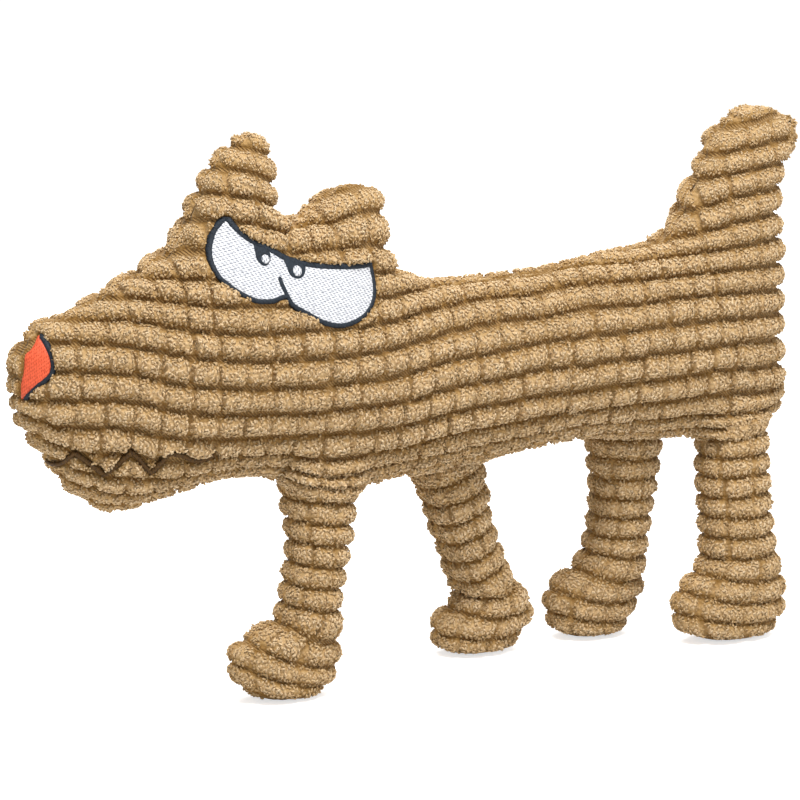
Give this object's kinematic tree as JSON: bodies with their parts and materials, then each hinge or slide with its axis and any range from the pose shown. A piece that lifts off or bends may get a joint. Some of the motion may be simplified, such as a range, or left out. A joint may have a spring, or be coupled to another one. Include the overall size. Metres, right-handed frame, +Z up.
{
  "type": "plush dog toy",
  "caption": "Stuffed dog-shaped toy in wide-wale plush with a flat outline, an embroidered face on one side, an upright tail and sewn-on legs that swing at the hips.",
  "frame": {"origin": "centre of the footprint's box, on the floor", "axes": "+X from nose to tail, +Y to the toy's own right (the embroidered face is on the -Y side), +Z up"},
  "size_m": [0.3656, 0.0668, 0.236],
  "materials": {
    "plush": "wide-wale curly pile",
    "filling": "loose polyester fibre",
    "squeaker": "satin, soft",
    "white_thread": "satin stitch",
    "dark_thread": "satin stitch",
    "orange_thread": "satin stitch",
    "brown_thread": "running stitch"
  },
  "bodies": {
    "torso": {"left_side_panel": "plush", "right_side_panel": "plush", "head_stuffing": "filling", "chest_stuffing": "filling", "rump_stuffing": "filling", "front_ear_stuffing": "filling", "rear_ear_stuffing": "filling", "tail_stuffing": "filling", "squeaker_bulb": "squeaker", "squeaker_plug": "squeaker", "squeaker_reed": "squeaker", "eye_white": "white_thread", "eye_outline": "dark_thread", "front_catchlight": "white_thread", "rear_catchlight": "white_thread", "nose_patch": "orange_thread", "nose_outline": "dark_thread", "mouth_stitch": "brown_thread"},
    "left_front_leg": {"left_front_leg_outer_panel": "plush", "left_front_leg_inner_panel": "plush", "left_front_leg_stuffing": "filling"},
    "right_front_leg": {"right_front_leg_outer_panel": "plush", "right_front_leg_inner_panel": "plush", "right_front_leg_stuffing": "filling"},
    "right_hind_leg": {"right_hind_leg_outer_panel": "plush", "right_hind_leg_inner_panel": "plush", "right_hind_leg_stuffing": "filling"},
    "left_hind_leg": {"left_hind_leg_outer_panel": "plush", "left_hind_leg_inner_panel": "plush", "left_hind_leg_stuffing": "filling"}
  },
  "joints": [
    {"name": "left_front_leg_swing", "type": "hinge", "parent": "torso", "child": "left_front_leg", "pos_m": [-0.05382, -0.009, 0.088], "axis": [0, 1, 0], "range_deg": [-8, 15], "stiffness_Nm_per_rad": 0.5},
    {"name": "right_front_leg_swing", "type": "hinge", "parent": "torso", "child": "right_front_leg", "pos_m": [0.01368, 0.009, 0.088], "axis": [0, 1, 0], "range_deg": [-4, 12], "stiffness_Nm_per_rad": 0.5},
    {"name": "right_hind_leg_swing", "type": "hinge", "parent": "torso", "child": "right_hind_leg", "pos_m": [0.10468, 0.009, 0.088], "axis": [0, 1, 0], "range_deg": [-15, 4], "stiffness_Nm_per_rad": 0.5},
    {"name": "left_hind_leg_swing", "type": "hinge", "parent": "torso", "child": "left_hind_leg", "pos_m": [0.14668, -0.009, 0.088], "axis": [0, 1, 0], "range_deg": [-15, 15], "stiffness_Nm_per_rad": 0.5}
  ]
}
